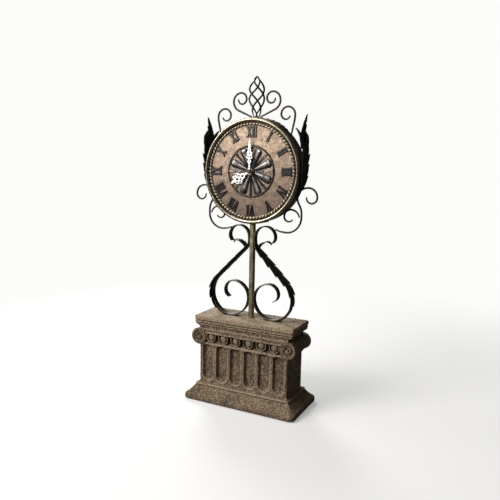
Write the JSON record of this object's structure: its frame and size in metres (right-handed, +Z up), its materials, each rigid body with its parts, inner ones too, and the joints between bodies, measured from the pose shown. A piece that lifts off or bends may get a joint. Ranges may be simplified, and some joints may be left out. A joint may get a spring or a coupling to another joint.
{
  "type": "street clock",
  "caption": "Table-size street clock: round drum dial with pierced hands on a square post with iron scrolls over a fluted cast pedestal.",
  "frame": {"origin": "middle of the pedestal's footprint, on the table that the clock stands on", "axes": "+Z up, +X to the right as seen from the front, +Y towards the back; the dial faces -Y"},
  "size_m": [0.2126, 0.1, 0.5168],
  "materials": {
    "cast_stone": "grainy sand-cast stone, worn high spots and dark recesses",
    "felt_pad": "pressed felt",
    "zinc_steel": "zinc plated",
    "antique_bronze": "rubbed antique bronze",
    "black_iron": "satin black with rubbed edges",
    "drum_bronze": "dark bronze",
    "bezel_brass": "antique brass, polished on the crown",
    "rope_bronze": "dark bronze with rubbed high spots",
    "dial_copper": "mottled copper",
    "pewter": "dark pewter with bright edges",
    "movement_plastic": "moulded",
    "gear_plastic": "moulded acetal",
    "gear_brass": "machined",
    "board_green": "solder mask",
    "coil_copper": "enamelled copper winding",
    "battery_shell": "printed steel can",
    "contact_steel": "nickel plated spring steel",
    "rubber_seal": "soft rubber",
    "hand_silver": "bright stamped",
    "cap_bronze": "dark reddish bronze"
  },
  "bodies": {
    "root": {"pedestal": "cast_stone", "foot_pads": "felt_pad", "tie_bolt": "zinc_steel", "tie_washer": "zinc_steel", "post": "antique_bronze", "post_saddle": "antique_bronze", "saddle_rivets": "zinc_steel", "lyre_scroll_right": "black_iron", "lyre_scroll_left": "black_iron", "lyre_leaf_right": "black_iron", "lyre_leaf_left": "black_iron", "side_leaf_right": "black_iron", "side_leaf_left": "black_iron", "side_scroll_right": "black_iron", "side_scroll_left": "black_iron", "side_curl_right": "black_iron", "side_curl_left": "black_iron", "top_strap": "black_iron", "finial_collar": "black_iron", "finial_wire_1": "black_iron", "finial_wire_2": "black_iron", "finial_wire_3": "black_iron", "finial_wire_4": "black_iron", "finial_tip": "black_iron", "top_curl_right": "black_iron", "top_curl_left": "black_iron", "shoulder_curl_right": "black_iron", "shoulder_curl_left": "black_iron", "drum_shell": "drum_bronze", "bezel": "bezel_brass", "rope_ring": "rope_bronze", "dial_plate": "dial_copper", "numerals": "pewter", "inner_ring": "rope_bronze", "rosette": "pewter", "back_plate": "drum_bronze", "back_screws": "zinc_steel", "movement_case": "movement_plastic", "movement_cover": "movement_plastic", "train_plate": "gear_brass", "circuit_board": "board_green", "coil": "coil_copper", "battery": "battery_shell", "battery_contacts": "contact_steel", "dial_washer": "rubber_seal", "fixing_nut": "gear_brass"},
    "minute": {"minute_arbor": "gear_brass", "minute_hand": "hand_silver", "cap_nut": "cap_bronze"},
    "hour": {"hour_wheel": "gear_plastic", "hour_hand": "hand_silver"},
    "setting": {"minute_wheel": "gear_plastic", "setting_knob": "movement_plastic"}
  },
  "joints": [
    {"name": "minute_hand_spin", "type": "hinge", "parent": "root", "child": "minute", "pos_m": [0, 0, 0.3723], "axis": [0, 1, 0], "continuous": true},
    {"name": "hour_hand_spin", "type": "hinge", "parent": "root", "child": "hour", "pos_m": [0, 0, 0.3723], "axis": [0, 1, 0], "continuous": true},
    {"name": "setting_knob_spin", "type": "hinge", "parent": "root", "child": "setting", "pos_m": [0, 0, 0.3633], "axis": [0, 1, 0], "continuous": true}
  ],
  "couplings": [
    {"joint": "hour_hand_spin", "follows": "minute_hand_spin", "ratio": 0.083333},
    {"joint": "setting_knob_spin", "follows": "minute_hand_spin", "ratio": -0.33333}
  ]
}
